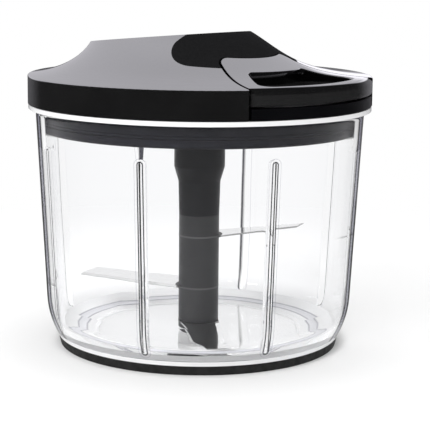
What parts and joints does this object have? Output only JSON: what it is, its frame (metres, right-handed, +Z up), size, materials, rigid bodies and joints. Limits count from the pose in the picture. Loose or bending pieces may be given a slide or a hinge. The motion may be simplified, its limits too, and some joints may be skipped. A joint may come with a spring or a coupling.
{
  "type": "pull-string food chopper",
  "caption": "Hand-pulled food chopper: clear round bowl with inner ribs, steel blades on an upright column, and a domed black lid with a flush pull handle.",
  "frame": {"origin": "centre of the base ring's underside, on the bowl's centre line", "axes": "+Z up along the centre line, the pull handle faces -Y"},
  "size_m": [0.143, 0.143, 0.1311],
  "materials": {
    "clear_plastic": "clear, polished",
    "base_rubber": "matte",
    "pin_steel": "polished",
    "nylon": "smooth",
    "column_grey": "satin",
    "column_black": "satin",
    "blade_steel": "mirror polished",
    "lid_gloss": "high gloss",
    "grip_matte": "fine matte",
    "plug_grey": "satin",
    "gasket_rubber": "matte",
    "carrier_black": "satin",
    "spring_steel": "blued",
    "bright_steel": "polished",
    "cord": "braided"
  },
  "bodies": {
    "bowl": {"bowl": "clear_plastic", "base_ring": "base_rubber", "pivot_pin": "pin_steel"},
    "column_seat": {"thrust_washer": "nylon"},
    "blades": {"foot_bush": "nylon", "column_core": "column_grey", "column_foot": "column_grey", "blade_lower": "blade_steel", "sleeve_lower": "column_grey", "blade_middle": "blade_steel", "sleeve_middle": "column_grey", "blade_upper": "blade_steel", "sleeve_upper": "column_grey", "column_head": "column_black"},
    "lid": {"lid_cover": "lid_gloss", "lid_tray": "carrier_black", "grip_pad": "grip_matte", "lid_plug": "plug_grey", "lid_gasket": "gasket_rubber", "lower_bush": "nylon", "upper_bush": "nylon", "spring_cup": "carrier_black", "mainspring": "spring_steel", "spring_cover": "carrier_black", "carrier_screws": "bright_steel", "cord_eyelet": "bright_steel", "cord_lead": "cord"},
    "reel": {"drive_spindle": "bright_steel", "cord_reel": "nylon", "cord_winding": "cord", "reel_clip": "bright_steel"},
    "handle": {"handle_grip": "lid_gloss", "handle_base": "carrier_black", "handle_screws": "bright_steel", "cord_tail": "cord", "cord_knot": "cord"}
  },
  "joints": [
    {"name": "lid_lift", "type": "slide", "parent": "bowl", "child": "lid", "axis": [0, 0, 1], "range_m": [0, 0.2]},
    {"name": "blade_lift", "type": "slide", "parent": "bowl", "child": "column_seat", "axis": [0, 0, 1], "range_m": [0, 0.1]},
    {"name": "blade_spin", "type": "hinge", "parent": "column_seat", "child": "blades", "pos_m": [0, 0, 0], "axis": [0, 0, 1], "range_deg": [-1020, 0]},
    {"name": "handle_pull", "type": "slide", "parent": "lid", "child": "handle", "axis": [0, -1, 0], "range_m": [0, 0.3], "stiffness_N_per_m": 20, "springref_m": -0.1},
    {"name": "reel_spin", "type": "hinge", "parent": "lid", "child": "reel", "pos_m": [0, 0, 0.11], "axis": [0, 0, 1], "range_deg": [-1020, 0]}
  ],
  "couplings": [
    {"joint": "blade_lift", "follows": "lid_lift", "ratio": 0.5},
    {"joint": "reel_spin", "follows": "handle_pull", "rad_per_m": -58.824},
    {"joint": "blade_spin", "follows": "handle_pull", "rad_per_m": -58.824}
  ]
}
